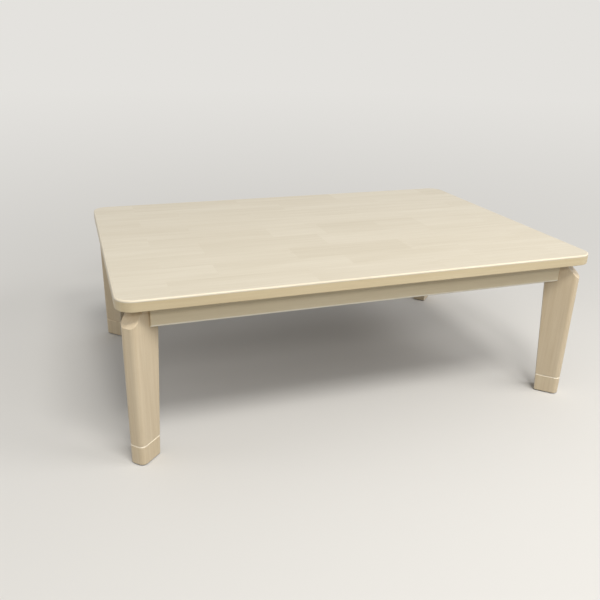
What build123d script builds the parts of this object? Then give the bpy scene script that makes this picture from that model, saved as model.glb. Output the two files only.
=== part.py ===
"""Low heating table: loose top, frame with legs across its corners, heater under the middle.

Millimetres. +X runs along the long side, +Y to the rear, +Z up. The origin is on
the floor under the middle of the table.
"""

from build123d import *
import math
import os

os.makedirs("parts", exist_ok=True)

# Overall sizes
table_length = 1200
table_width = 800
table_height = 410

# Tabletop: a core panel between a face sheet and a backing sheet, inside four edge rails
tabletop_thickness = 27
tabletop_corner_radius = 40
tabletop_top_rounding = 4.5
tabletop_bottom_rounding = 2
face_thickness = 5
backing_thickness = 3
edge_rail_width = 60
slip_pad_radius = 7
slip_pad_thickness = 2

# Frame
apron_height = 50
apron_thickness = 20
apron_inset = 35
apron_end_gap = 7
apron_rounding = 2.5
apron_leg_gap = 1
corner_block_thickness = 30
corner_block_margin = 4
cross_rail_width = 30
cross_rail_height = 38
cross_rail_drop = 2

# Legs, measured along the diagonal from the tabletop's square corner
leg_corner_inset = 27
leg_thickness = 42
leg_top_width = 83
leg_foot_width = 60.5
leg_top_cut = 40
leg_outer_rounding = 14
leg_inner_rounding = 2.5
leg_arris_rounding = 1.2
extension_seam_height = 50
seam_chamfer = 2
foot_chamfer = 1
foot_pad_thickness = 2
foot_pad_margin = 4
foot_pad_corner_radius = 8

# Fasteners
bolt_radius = 3
bolt_reach = 23
bolt_head_flats = 10
bolt_head_height = 4
bolt_spacing = 22
washer_radius = 6.25
washer_thickness = 1.6
insert_radius = 5
insert_length = 13
block_screw_radius = 2
block_screw_head_radius = 4
block_screw_head_height = 2.8
block_screw_seat = 8
block_screw_cover = 6
block_screw_spacing = 24
block_screw_margin = 14
dowel_radius = 4
dowel_cover = 7
dowel_depth_in_rail = 15
dowel_spacing = 18
pin_radius = 4
pin_cover = 15
pin_spacing = 30
press_gap = 0.02
running_gap = 0.05
hole_gap = 0.4
hole_spare_depth = 1

# Heater: housing and reflector
sheet_thickness = 1
housing_size = 272
housing_height = 36
housing_rounding = 8
flange_width = 16
housing_to_rail_gap = 4
vent_slot_length = 24
vent_slot_height = 4
vent_slot_spacing = 36
vent_slot_count = 5
deck_width = 36
chamber_end_margin = 6
chamber_side_margin = 11
reflector_depth = 16
reflector_slope_run = 15
reflector_side_lap = 3
reflector_end_lap = 14
mount_screw_radius = 2
mount_screw_reach = 15
mount_screw_head_radius = 3.6
mount_screw_head_height = 2.5
mount_screw_margin = 36

# Heater: U-shaped tube
tube_radius = 6
tube_wall = 1
tube_half_spacing = 62
tube_bend_margin = 5
tube_drop = 9
tube_in_cap = 10
coil_radius = 3.5
coil_in_cap = 4
cap_length = 22
cap_width = 17
cap_margin = 10
cap_lead_margin = 4
clip_gap = 0.3
clip_thickness = 1
clip_length = 8
clip_mouth = 8
clip_stem_width = 6

# Heater: fan and its motor
fan_hole_radius = 42
blade_tip_radius = 38
blade_count = 5
blade_chord = 15
blade_thickness = 1.2
blade_pitch = 30
hub_radius = 9
hub_height = 11
hub_rise = 1
shaft_radius = 1.5
shaft_depth_in_hub = 9
shaft_tip = 3
rotor_radius = 11.5
rotor_gap = 0.5
stator_width = 44
stator_near_reach = 18
stator_height = 10
stator_window_width = 22
stator_window_depth = 16
stator_limb_depth = 14
winding_build = 3.4
winding_end_gap = 0.5
bracket_width = 14
bracket_foot_length = 10
bracket_foot_clearance = 4
bracket_rise = 4
upper_bracket_length = 40

# Heater: guard
guard_height = 16
guard_wall = 3
guard_rounding = 6
guard_rod_radius = 1.2
guard_rod_lift = 2.5
guard_rod_spacing = 22
cross_rod_spacing = 60
cross_rod_count = 3
lug_width = 14
lug_spacing = 160
guard_screw_radius = 1.9
guard_screw_tip = 6
guard_screw_head_radius = 3.4
guard_screw_head_height = 2.2

# Heater: cord inlet and wiring
inlet_length = 34
inlet_width = 34
inlet_height = 22
inlet_gap = 1
socket_depth = 18
socket_width = 28
socket_height = 14
inlet_pin_radius = 2
inlet_pin_length = 15
inlet_pin_spacing = 14
tab_length = 6
tab_thickness = 1.2
tab_rise = 11
tab_margin = 7
tab_slot_clearance = 3
terminal_count = 4
terminal_spacing = 11
terminal_block_width = 16
terminal_block_height = 14
terminal_block_place = 60
terminal_pocket_radius = 2.5
terminal_pocket_depth = 3
thermostat_radius = 9
thermostat_height = 9
thermostat_side_margin = 25
thermostat_terminal_spacing = 8
sensor_end_margin = 35
fuse_radius = 2
fuse_length = 12
fuse_place = 64
wire_stub = 10
wire_radius = 1.1
wire_bend_radius = 4
wire_hole_gap = 1
low_wire_rise = 9
high_wire_rise = 15

# Heights that follow from the sizes above
tabletop_bottom = table_height - tabletop_thickness
face_bottom = table_height - face_thickness
frame_top = tabletop_bottom - slip_pad_thickness
apron_bottom = frame_top - apron_height
leg_shoulder_height = frame_top - leg_top_cut
frame_middle_height = frame_top - apron_height / 2
cross_rail_bottom = frame_top - cross_rail_drop - cross_rail_height
cross_rail_middle = cross_rail_bottom + cross_rail_height / 2
flange_bottom = cross_rail_bottom - sheet_thickness
rim_bottom = flange_bottom - sheet_thickness
housing_top = cross_rail_bottom + housing_height
plate_bottom = rim_bottom + reflector_depth
plate_top = plate_bottom + sheet_thickness
tube_height = plate_bottom - tube_drop
guard_bottom = rim_bottom - guard_height
stator_bottom = plate_top + bracket_rise
stator_top = stator_bottom + stator_height
hub_top = plate_top + hub_rise
hub_bottom = hub_top - hub_height
inlet_middle = rim_bottom - inlet_height / 2
tab_top = flange_bottom + tab_rise
terminal_block_top = flange_bottom + terminal_block_height
terminal_floor = terminal_block_top - terminal_pocket_depth
thermostat_top = plate_top + thermostat_height
fuse_height = plate_top + fuse_radius + running_gap
low_wire_height = plate_top + low_wire_rise
high_wire_height = plate_top + high_wire_rise

# Places along a corner's diagonal, from the tabletop's square corner inwards
leg_inner = leg_corner_inset + leg_top_width
leg_foot_inner = leg_corner_inset + leg_foot_width
foot_middle = leg_corner_inset + leg_foot_width / 2
block_inner = leg_inner + corner_block_thickness

# Places in plan, measured from the tabletop's edges
apron_inner = apron_inset + apron_thickness
apron_middle = apron_inset + apron_thickness / 2
apron_end = apron_inset + leg_thickness / math.sqrt(2) + apron_end_gap
bevel_offset = (leg_thickness / 2 + apron_leg_gap) * math.sqrt(2)
block_screw_place = block_inner * math.sqrt(2) - apron_inner - block_screw_margin

# Places in plan, measured from the middle of the table
half_length = table_length / 2
half_width = table_width / 2
housing_half = housing_size / 2
flange_half = housing_half + flange_width
cross_rail_face = housing_half + housing_to_rail_gap
cross_rail_place = cross_rail_face + cross_rail_width / 2
mount_screw_place = (cross_rail_face + flange_half) / 2
mount_screw_spacing = housing_size - 2 * mount_screw_margin
chamber_offset = (deck_width - chamber_end_margin) / 2
mouth_length = housing_size - deck_width - chamber_end_margin
mouth_width = housing_size - 2 * chamber_side_margin
rim_half_length = housing_half + reflector_side_lap
rim_half_width = housing_half + reflector_end_lap
guard_screw_place = housing_half + flange_width / 2
guard_half_length = (mouth_length + guard_wall) / 2
guard_half_width = (mouth_width + guard_wall) / 2
plate_length = mouth_length - 2 * reflector_slope_run
plate_width = mouth_width - 2 * reflector_slope_run
plate_start = chamber_offset - plate_length / 2
cap_inner = plate_start + cap_margin + cap_length
cap_middle = plate_start + cap_margin + cap_length / 2
cap_lead_place = plate_start + cap_margin + cap_lead_margin
tube_start = cap_inner - tube_in_cap
tube_bend_middle = chamber_offset + plate_length / 2 - tube_bend_margin - tube_half_spacing
sensor_line = plate_start + sensor_end_margin
thermostat_place = plate_width / 2 - thermostat_side_margin
inlet_inner = chamber_offset - guard_half_length - inlet_gap
inlet_mouth = inlet_inner - inlet_length
socket_floor = inlet_mouth + socket_depth
tab_place = inlet_inner - tab_margin
deck_middle = (chamber_offset - mouth_length / 2 - housing_half + sheet_thickness) / 2
motor_lead_place = chamber_offset - stator_window_width / 2 + winding_end_gap
winding_middle = stator_near_reach + stator_window_depth + stator_limb_depth / 2

# Lengths that follow from what each fastener passes through
bolt_length = corner_block_thickness + washer_thickness + bolt_reach
block_screw_length = block_screw_seat + apron_thickness - block_screw_cover
dowel_depth_in_apron = apron_thickness - dowel_cover
pin_depth = extension_seam_height - foot_pad_thickness - pin_cover
mount_screw_length = sheet_thickness + mount_screw_reach
guard_screw_length = 3 * sheet_thickness + guard_screw_tip

corners = {
    "front_left": (-1, -1),
    "front_right": (1, -1),
    "rear_left": (-1, 1),
    "rear_right": (1, 1),
}


def either_side(middle, spacing):
    """Two values a spacing apart about a middle."""
    return [middle - spacing / 2, middle + spacing / 2]


def inward(side_x, side_y):
    """Direction from a corner of the tabletop towards its middle."""
    return Vector(-side_x, -side_y, 0).normalized()


def diagonal_point(side_x, side_y, distance, height):
    """A point above a corner's diagonal, at a distance inwards from the tabletop's square corner."""
    corner = Vector(side_x * half_length, side_y * half_width, height)
    return corner + inward(side_x, side_y) * distance


def diagonal_profile(side_x, side_y):
    """Upright plane through a corner's diagonal: x is the distance inwards, y is the height."""
    along = inward(side_x, side_y)
    across = along.cross(Vector(0, 0, 1))
    return Plane(origin=diagonal_point(side_x, side_y, 0, 0), x_dir=along, z_dir=across)


def diagonal_plan(side_x, side_y, height):
    """Level plane at a corner: x runs inwards along the diagonal."""
    origin = diagonal_point(side_x, side_y, 0, height)
    return Plane(origin=origin, x_dir=inward(side_x, side_y), z_dir=(0, 0, 1))


def bolt_planes(sides, distance):
    """Planes square to the leg bolts at some corners, facing the middle of the table."""
    return [
        Plane(origin=diagonal_point(*side, distance, height), z_dir=inward(*side))
        for side in sides
        for height in either_side(frame_middle_height, bolt_spacing)
    ]


def block_screw_planes(sides, depth):
    """Planes square to the corner blocks' screws at some corners, facing away from the aprons."""
    far = block_screw_place
    planes = []
    for side_x, side_y in sides:
        for height in either_side(frame_middle_height, block_screw_spacing):
            into_long_apron = (side_x * (half_length - far), side_y * (half_width - depth), height)
            into_short_apron = (side_x * (half_length - depth), side_y * (half_width - far), height)
            planes.append(Plane(origin=into_long_apron, z_dir=(0, -side_y, 0)))
            planes.append(Plane(origin=into_short_apron, z_dir=(-side_x, 0, 0)))
    return planes


def dowel_planes(side_y, facing_y):
    """Planes square to the cross rails' dowels at a long apron's inner face."""
    return [
        Plane(
            origin=(side_x * cross_rail_place, side_y * (half_width - apron_inner), height),
            z_dir=(0, facing_y, 0),
        )
        for side_x in (-1, 1)
        for height in either_side(cross_rail_middle, dowel_spacing)
    ]


def pin_planes(side_x, side_y, facing_z):
    """Planes square to a leg extension's two pins, at the seam."""
    return [
        Plane(
            origin=diagonal_point(side_x, side_y, distance, extension_seam_height),
            z_dir=(0, 0, facing_z),
        )
        for distance in either_side(foot_middle, pin_spacing)
    ]


def mount_screw_planes(height):
    """Planes square to the heater's mounting screws, facing down."""
    return [
        Plane(origin=(side_x * mount_screw_place, place_y, height), z_dir=(0, 0, -1))
        for side_x in (-1, 1)
        for place_y in either_side(0, mount_screw_spacing)
    ]


def guard_screw_planes(height):
    """Planes square to the guard's screws, facing down."""
    return [
        Plane(origin=(place_x, side_y * guard_screw_place, height), z_dir=(0, 0, -1))
        for place_x in either_side(chamber_offset, lug_spacing)
        for side_y in (-1, 1)
    ]


def leg_inner_at(height):
    """Inner end of a leg along the diagonal: tapered below the aprons."""
    return leg_foot_inner + (leg_inner - leg_foot_inner) * height / apron_bottom


# ---------------------------------------------------------------- tabletop

with BuildPart() as tabletop_face:
    with BuildSketch(Plane.XY.offset(face_bottom)):
        RectangleRounded(table_length, table_width, tabletop_corner_radius)
    extrude(amount=face_thickness)
    fillet(
        tabletop_face.faces().sort_by(Axis.Z)[-1].edges(),
        min(tabletop_top_rounding, 0.9 * face_thickness),
    )
tabletop_face.part.label = "tabletop_face"
export_step(tabletop_face.part, "parts/tabletop_face.step")

with BuildPart() as tabletop_core:
    with BuildSketch(Plane.XY.offset(tabletop_bottom + backing_thickness)):
        Rectangle(table_length - 2 * edge_rail_width, table_width - 2 * edge_rail_width)
    extrude(amount=tabletop_thickness - face_thickness - backing_thickness)
tabletop_core.part.label = "tabletop_core"
export_step(tabletop_core.part, "parts/tabletop_core.step")

with BuildPart() as tabletop_backing:
    with BuildSketch(Plane.XY.offset(tabletop_bottom)):
        Rectangle(table_length - 2 * edge_rail_width, table_width - 2 * edge_rail_width)
    extrude(amount=backing_thickness)
tabletop_backing.part.label = "tabletop_backing"
export_step(tabletop_backing.part, "parts/tabletop_backing.step")

# Four edge rails, mitred at the corners
edge_rails = {
    "tabletop_rail_front": (Vector(0, -1), half_width, half_length),
    "tabletop_rail_rear": (Vector(0, 1), half_width, half_length),
    "tabletop_rail_left": (Vector(-1, 0), half_length, half_width),
    "tabletop_rail_right": (Vector(1, 0), half_length, half_width),
}
for rail_name, (outward, edge_distance, half_run) in edge_rails.items():
    with BuildPart() as edge_rail:
        with BuildSketch(Plane.XY.offset(tabletop_bottom)):
            RectangleRounded(table_length, table_width, tabletop_corner_radius)
        extrude(amount=tabletop_thickness - face_thickness)
        fillet(edge_rail.faces().sort_by(Axis.Z)[0].edges(), tabletop_bottom_rounding)
        with BuildSketch(Plane(origin=(0, 0, tabletop_bottom), x_dir=outward, z_dir=(0, 0, 1))):
            with BuildLine():
                Polyline(
                    (edge_distance, -half_run),
                    (edge_distance, half_run),
                    (edge_distance - edge_rail_width, half_run - edge_rail_width),
                    (edge_distance - edge_rail_width, edge_rail_width - half_run),
                    close=True,
                )
            make_face()
        extrude(amount=tabletop_thickness, mode=Mode.INTERSECT)
    edge_rail.part.label = rail_name
    export_step(edge_rail.part, f"parts/{rail_name}.step")

# ---------------------------------------------------------------- frame

# Each apron stops short of the legs; the back of each end is bevelled along the leg's face
aprons = {
    "front_apron": (Vector(0, -half_width), Vector(1, 0), half_length),
    "rear_apron": (Vector(0, half_width), Vector(-1, 0), half_length),
    "left_apron": (Vector(-half_length, 0), Vector(0, -1), half_width),
    "right_apron": (Vector(half_length, 0), Vector(0, 1), half_width),
}
for apron_name, (edge_middle, along, half_run) in aprons.items():
    apron_plane = Plane(
        origin=(edge_middle.X, edge_middle.Y, apron_bottom), x_dir=along, z_dir=(0, 0, 1)
    )
    with BuildPart() as apron:
        with BuildSketch(apron_plane):
            with BuildLine():
                Polyline(
                    (0, apron_inset),
                    (half_run - apron_end, apron_inset),
                    (half_run - apron_end, apron_end - bevel_offset),
                    (half_run - apron_inner - bevel_offset, apron_inner),
                    (0, apron_inner),
                )
                mirror(about=Plane.YZ)
            make_face()
        extrude(amount=apron_height)
        front_face = apron.faces().sort_by(Axis(apron_plane.origin, apron_plane.y_dir))[0]
        fillet(front_face.edges().sort_by(Axis.Z)[:-1], apron_rounding)
        screw_planes = [
            plane
            for plane in block_screw_planes(corners.values(), apron_inner)
            if plane.z_dir == apron_plane.y_dir
        ]
        with Locations(*screw_planes):
            Hole(block_screw_radius + press_gap, apron_thickness - block_screw_cover + hole_spare_depth)
        if along.Y == 0:
            with Locations(*dowel_planes(-along.X, along.X)):
                Hole(dowel_radius + press_gap, dowel_depth_in_apron + hole_spare_depth)
    apron.part.label = apron_name
    export_step(apron.part, f"parts/{apron_name}.step")

for corner_name, side in corners.items():
    with BuildPart() as corner_block:
        with BuildSketch(diagonal_plan(*side, apron_bottom + corner_block_margin)):
            with BuildLine():
                Polyline(
                    (leg_inner, apron_inner * math.sqrt(2) - leg_inner),
                    (leg_inner, leg_inner - apron_inner * math.sqrt(2)),
                    (block_inner, block_inner - apron_inner * math.sqrt(2)),
                    (block_inner, apron_inner * math.sqrt(2) - block_inner),
                    close=True,
                )
            make_face()
        extrude(amount=apron_height - 2 * corner_block_margin)
        with Locations(*bolt_planes([side], block_inner)):
            Hole(bolt_radius + hole_gap, corner_block_thickness)
        with Locations(*block_screw_planes([side], apron_inner + block_screw_seat)):
            Hole(block_screw_radius + hole_gap, block_screw_seat)
        with BuildSketch(*block_screw_planes([side], apron_inner + block_screw_seat)):
            Circle(block_screw_head_radius + hole_gap)
        extrude(amount=corner_block_thickness, mode=Mode.SUBTRACT)
    corner_block.part.label = f"corner_block_{corner_name}"
    export_step(corner_block.part, f"parts/corner_block_{corner_name}.step")

# Screws that hold the corner blocks to the aprons
with BuildPart() as corner_block_screws:
    with Locations(*block_screw_planes(corners.values(), apron_inner + block_screw_seat)):
        Cylinder(block_screw_radius, block_screw_length, align=(Align.CENTER, Align.CENTER, Align.MAX))
        Cylinder(
            block_screw_head_radius,
            block_screw_head_height,
            align=(Align.CENTER, Align.CENTER, Align.MIN),
        )
corner_block_screws.part.label = "corner_block_screws"
export_step(corner_block_screws.part, "parts/corner_block_screws.step")

# Two rails across the frame carry the heater
for rail_name, side_x in (("cross_rail_left", -1), ("cross_rail_right", 1)):
    with BuildPart() as cross_rail:
        with BuildSketch(Plane.XY.offset(cross_rail_bottom)):
            with Locations((side_x * cross_rail_place, 0)):
                Rectangle(cross_rail_width, table_width - 2 * apron_inner)
        extrude(amount=cross_rail_height)
        with Locations(*dowel_planes(-1, -1), *dowel_planes(1, 1)):
            Hole(dowel_radius + press_gap, dowel_depth_in_rail + hole_spare_depth)
        with Locations(*mount_screw_planes(cross_rail_bottom)):
            Hole(mount_screw_radius + press_gap, mount_screw_reach + hole_spare_depth)
    cross_rail.part.label = rail_name
    export_step(cross_rail.part, f"parts/{rail_name}.step")

with BuildPart() as cross_rail_dowels:
    with Locations(*dowel_planes(-1, -1), *dowel_planes(1, 1)):
        Cylinder(dowel_radius, dowel_depth_in_apron, align=(Align.CENTER, Align.CENTER, Align.MIN))
        Cylinder(dowel_radius, dowel_depth_in_rail, align=(Align.CENTER, Align.CENTER, Align.MAX))
cross_rail_dowels.part.label = "cross_rail_dowels"
export_step(cross_rail_dowels.part, "parts/cross_rail_dowels.step")

# Pads that the loose tabletop rests on
with BuildPart() as slip_pads:
    with BuildSketch(Plane.XY.offset(frame_top)):
        with GridLocations(half_length, table_width - 2 * apron_middle, 2, 2):
            Circle(slip_pad_radius)
        with GridLocations(table_length - 2 * apron_middle, half_width, 2, 2):
            Circle(slip_pad_radius)
    extrude(amount=slip_pad_thickness)
slip_pads.part.label = "slip_pads"
export_step(slip_pads.part, "parts/slip_pads.step")

# ---------------------------------------------------------------- legs and leg extensions

for corner_name, side in corners.items():
    diagonal = Axis(diagonal_point(*side, 0, 0), inward(*side))
    across = Axis((0, 0, 0), diagonal_profile(*side).z_dir)

    # Leg: outer edge upright, inner edge tapered, top outer corner cut off at 45 degrees
    with BuildPart() as leg:
        with BuildSketch(diagonal_profile(*side)):
            with BuildLine():
                Polyline(
                    (leg_corner_inset, extension_seam_height),
                    (leg_corner_inset, leg_shoulder_height),
                    (leg_corner_inset + leg_top_cut, frame_top),
                    (leg_inner, frame_top),
                    (leg_inner, apron_bottom),
                    (leg_inner_at(extension_seam_height), extension_seam_height),
                    close=True,
                )
            make_face()
        extrude(amount=leg_thickness / 2, both=True)
        fillet(leg.edges().filter_by(Axis.Z).group_by(diagonal)[0], leg_outer_rounding)
        inner_faces = leg.faces().sort_by(diagonal)[-2:]
        fillet(inner_faces.edges().filter_by(across, reverse=True), leg_inner_rounding)
        chamfer(leg.faces().sort_by(Axis.Z)[0].edges(), seam_chamfer)
        cut_middle = diagonal_point(
            *side, leg_corner_inset + leg_top_cut / 2, frame_top - leg_top_cut / 2
        )
        cut_face = leg.faces().sort_by_distance(cut_middle)[0]
        fillet(cut_face.edges().group_by(Axis.Z)[:-1], leg_arris_rounding)
        with Locations(*bolt_planes([side], leg_inner)):
            CounterBoreHole(
                radius=bolt_radius + hole_gap,
                counter_bore_radius=insert_radius + press_gap,
                counter_bore_depth=insert_length,
                depth=bolt_reach + hole_spare_depth,
            )
        with Locations(*pin_planes(*side, -1)):
            Hole(pin_radius + running_gap, pin_depth + hole_spare_depth)
    leg.part.label = f"leg_{corner_name}"
    export_step(leg.part, f"parts/leg_{corner_name}.step")

    # Leg extension: carries on the leg's shape to the floor
    with BuildPart() as leg_extension:
        with BuildSketch(diagonal_profile(*side)):
            with BuildLine():
                Polyline(
                    (leg_corner_inset, foot_pad_thickness),
                    (leg_corner_inset, extension_seam_height),
                    (leg_inner_at(extension_seam_height), extension_seam_height),
                    (leg_inner_at(foot_pad_thickness), foot_pad_thickness),
                    close=True,
                )
            make_face()
        extrude(amount=leg_thickness / 2, both=True)
        fillet(leg_extension.edges().filter_by(Axis.Z), leg_outer_rounding)
        inner_face = leg_extension.faces().sort_by(diagonal)[-1]
        fillet(inner_face.edges().filter_by(across, reverse=True), leg_inner_rounding)
        chamfer(leg_extension.faces().sort_by(Axis.Z)[-1].edges(), seam_chamfer)
        chamfer(leg_extension.faces().sort_by(Axis.Z)[0].edges(), foot_chamfer)
        with Locations(*pin_planes(*side, 1)):
            Hole(pin_radius + press_gap, pin_depth)
    leg_extension.part.label = f"leg_extension_{corner_name}"
    export_step(leg_extension.part, f"parts/leg_extension_{corner_name}.step")

    # Pins fixed in the extension push up into the leg
    with BuildPart() as extension_pins:
        with BuildSketch(*pin_planes(*side, 1)):
            Circle(pin_radius)
        extrude(amount=pin_depth, both=True)
    extension_pins.part.label = f"extension_pins_{corner_name}"
    export_step(extension_pins.part, f"parts/extension_pins_{corner_name}.step")

    with BuildPart() as foot_pad:
        with BuildSketch(diagonal_plan(*side, 0)):
            with Locations((foot_middle, 0)):
                RectangleRounded(
                    leg_foot_width - 2 * foot_pad_margin,
                    leg_thickness - 2 * foot_pad_margin,
                    foot_pad_corner_radius,
                )
        extrude(amount=foot_pad_thickness)
    foot_pad.part.label = f"foot_pad_{corner_name}"
    export_step(foot_pad.part, f"parts/foot_pad_{corner_name}.step")

# Bolts from behind the corner blocks into threaded inserts in the legs
with BuildPart() as leg_bolts:
    with BuildSketch(*bolt_planes(corners.values(), block_inner + washer_thickness)):
        RegularPolygon(bolt_head_flats / 2, 6, major_radius=False)
    extrude(amount=bolt_head_height)
    with Locations(*bolt_planes(corners.values(), block_inner + washer_thickness)):
        Cylinder(bolt_radius, bolt_length, align=(Align.CENTER, Align.CENTER, Align.MAX))
leg_bolts.part.label = "leg_bolts"
export_step(leg_bolts.part, "parts/leg_bolts.step")

with BuildPart() as leg_bolt_washers:
    with BuildSketch(*bolt_planes(corners.values(), block_inner)):
        Circle(washer_radius)
        Circle(bolt_radius + hole_gap, mode=Mode.SUBTRACT)
    extrude(amount=washer_thickness)
leg_bolt_washers.part.label = "leg_bolt_washers"
export_step(leg_bolt_washers.part, "parts/leg_bolt_washers.step")

with BuildPart() as leg_inserts:
    with BuildSketch(*bolt_planes(corners.values(), leg_inner)):
        Circle(insert_radius)
        Circle(bolt_radius + running_gap, mode=Mode.SUBTRACT)
    extrude(amount=-insert_length)
leg_inserts.part.label = "leg_inserts"
export_step(leg_inserts.part, "parts/leg_inserts.step")

# ---------------------------------------------------------------- heater housing and reflector

# Pressed steel box, open below, with a flange screwed up to the cross rails
with BuildPart() as heater_housing:
    with BuildSketch(Plane.XY.offset(flange_bottom)):
        RectangleRounded(2 * flange_half, 2 * flange_half, housing_rounding)
    extrude(amount=sheet_thickness)
    with BuildSketch(Plane.XY.offset(flange_bottom)):
        RectangleRounded(housing_size, housing_size, housing_rounding)
    extrude(amount=housing_top - flange_bottom)
    with BuildSketch(Plane.XY.offset(flange_bottom)):
        RectangleRounded(
            housing_size - 2 * sheet_thickness,
            housing_size - 2 * sheet_thickness,
            housing_rounding - sheet_thickness,
        )
    extrude(amount=housing_top - sheet_thickness - flange_bottom, mode=Mode.SUBTRACT)
    vent_height = (cross_rail_bottom + housing_top) / 2
    with BuildSketch(Plane(origin=(0, 0, vent_height), x_dir=(1, 0, 0), z_dir=(0, -1, 0))):
        with GridLocations(vent_slot_spacing, 0, vent_slot_count, 1):
            SlotOverall(vent_slot_length, vent_slot_height)
    extrude(amount=housing_half + sheet_thickness, both=True, mode=Mode.SUBTRACT)
    with Locations(*mount_screw_planes(flange_bottom)):
        Hole(mount_screw_radius + hole_gap, sheet_thickness)
    with Locations(*guard_screw_planes(flange_bottom)):
        Hole(guard_screw_radius + press_gap, sheet_thickness)
heater_housing.part.label = "heater_housing"
export_step(heater_housing.part, "parts/heater_housing.step")

# Reflector: a rim under the housing's flange and a shallow pan above the tube
with BuildPart() as heater_reflector:
    with BuildSketch(Plane.XY.offset(rim_bottom)):
        Rectangle(2 * rim_half_length, 2 * rim_half_width)
        with Locations((tab_place, 0)):
            Rectangle(
                tab_length + tab_slot_clearance,
                inlet_pin_spacing + tab_thickness + tab_slot_clearance,
                mode=Mode.SUBTRACT,
            )
    extrude(amount=sheet_thickness)
    with BuildSketch(Plane((chamber_offset, 0, rim_bottom))):
        Rectangle(mouth_length + 2 * sheet_thickness, mouth_width + 2 * sheet_thickness)
    with BuildSketch(Plane((chamber_offset, 0, plate_top))):
        Rectangle(plate_length + 2 * sheet_thickness, plate_width + 2 * sheet_thickness)
    loft()
    with BuildSketch(Plane((chamber_offset, 0, rim_bottom))):
        Rectangle(mouth_length, mouth_width)
    with BuildSketch(Plane((chamber_offset, 0, plate_bottom))):
        Rectangle(plate_length, plate_width)
    loft(mode=Mode.SUBTRACT)
    with BuildSketch(Plane((0, 0, plate_bottom))):
        with Locations((chamber_offset, 0)):
            Circle(fan_hole_radius)
        with Locations((cap_lead_place, tube_half_spacing), (cap_lead_place, -tube_half_spacing)):
            Circle(wire_radius + wire_hole_gap)
    extrude(amount=sheet_thickness, mode=Mode.SUBTRACT)
    with Locations(*guard_screw_planes(rim_bottom)):
        Hole(guard_screw_radius + hole_gap, sheet_thickness)
heater_reflector.part.label = "heater_reflector"
export_step(heater_reflector.part, "parts/heater_reflector.step")

with BuildPart() as heater_mount_screws:
    with Locations(*mount_screw_planes(flange_bottom)):
        Cylinder(mount_screw_radius, mount_screw_length, align=(Align.CENTER, Align.CENTER, Align.MAX))
        Cylinder(
            mount_screw_head_radius,
            mount_screw_head_height,
            align=(Align.CENTER, Align.CENTER, Align.MIN),
        )
heater_mount_screws.part.label = "heater_mount_screws"
export_step(heater_mount_screws.part, "parts/heater_mount_screws.step")

# ---------------------------------------------------------------- heater tube

# One U in plan: two straight legs joined by a half turn around the fan
with BuildLine(Plane.XY.offset(tube_height)) as tube_path:
    Line((tube_start, tube_half_spacing), (tube_bend_middle, tube_half_spacing))
    ThreePointArc(
        (tube_bend_middle, tube_half_spacing),
        (tube_bend_middle + tube_half_spacing, 0),
        (tube_bend_middle, -tube_half_spacing),
    )
    Line((tube_bend_middle, -tube_half_spacing), (tube_start, -tube_half_spacing))

with BuildPart() as quartz_tube:
    with BuildSketch(Plane(tube_path.wire() ^ 0)):
        Circle(tube_radius)
        Circle(tube_radius - tube_wall, mode=Mode.SUBTRACT)
    sweep(path=tube_path.wire())
quartz_tube.part.label = "quartz_tube"
export_step(quartz_tube.part, "parts/quartz_tube.step")

# The coil of resistance wire, as its outer shape, runs past both ends of the tube
with BuildLine(Plane.XY.offset(tube_height)) as coil_path:
    Line((tube_start - coil_in_cap, tube_half_spacing), (tube_bend_middle, tube_half_spacing))
    ThreePointArc(
        (tube_bend_middle, tube_half_spacing),
        (tube_bend_middle + tube_half_spacing, 0),
        (tube_bend_middle, -tube_half_spacing),
    )
    Line((tube_bend_middle, -tube_half_spacing), (tube_start - coil_in_cap, -tube_half_spacing))

with BuildPart() as heating_coil:
    with BuildSketch(Plane(coil_path.wire() ^ 0)):
        Circle(coil_radius)
    sweep(path=coil_path.wire())
heating_coil.part.label = "heating_coil"
export_step(heating_coil.part, "parts/heating_coil.step")

# Ceramic caps hold the tube's two ends under the reflector
with BuildPart() as tube_end_caps:
    with BuildSketch(Plane.XY.offset(tube_height - cap_width / 2)):
        with Locations((cap_middle, tube_half_spacing), (cap_middle, -tube_half_spacing)):
            Rectangle(cap_length, cap_width)
    extrude(amount=tube_drop + cap_width / 2)
    cap_mouths = [
        Plane(origin=(cap_inner, side_y * tube_half_spacing, tube_height), z_dir=(1, 0, 0))
        for side_y in (-1, 1)
    ]
    with Locations(*cap_mouths):
        CounterBoreHole(
            radius=coil_radius + running_gap,
            counter_bore_radius=tube_radius + running_gap,
            counter_bore_depth=tube_in_cap,
            depth=tube_in_cap + coil_in_cap,
        )
tube_end_caps.part.label = "tube_end_caps"
export_step(tube_end_caps.part, "parts/tube_end_caps.step")

# Spring clips hang the tube from the reflector: two on its legs, one at the bend
clip_planes = [
    Plane(origin=(chamber_offset, tube_half_spacing, tube_height), x_dir=(0, 1, 0), z_dir=(1, 0, 0)),
    Plane(origin=(chamber_offset, -tube_half_spacing, tube_height), x_dir=(0, 1, 0), z_dir=(1, 0, 0)),
    Plane(
        origin=(tube_bend_middle + tube_half_spacing, 0, tube_height),
        x_dir=(1, 0, 0),
        z_dir=(0, -1, 0),
    ),
]
clip_inner_radius = tube_radius + clip_gap
with BuildPart() as tube_clips:
    with BuildSketch(*clip_planes):
        with Locations((0, clip_inner_radius)):
            Rectangle(
                clip_stem_width, tube_drop - clip_inner_radius, align=(Align.CENTER, Align.MIN)
            )
        Circle(clip_inner_radius + clip_thickness)
        Circle(clip_inner_radius, mode=Mode.SUBTRACT)
        Rectangle(
            clip_mouth,
            clip_inner_radius + clip_thickness,
            align=(Align.CENTER, Align.MAX),
            mode=Mode.SUBTRACT,
        )
    extrude(amount=clip_length / 2, both=True)
tube_clips.part.label = "tube_clips"
export_step(tube_clips.part, "parts/tube_clips.step")

# ---------------------------------------------------------------- heater fan and motor

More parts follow.
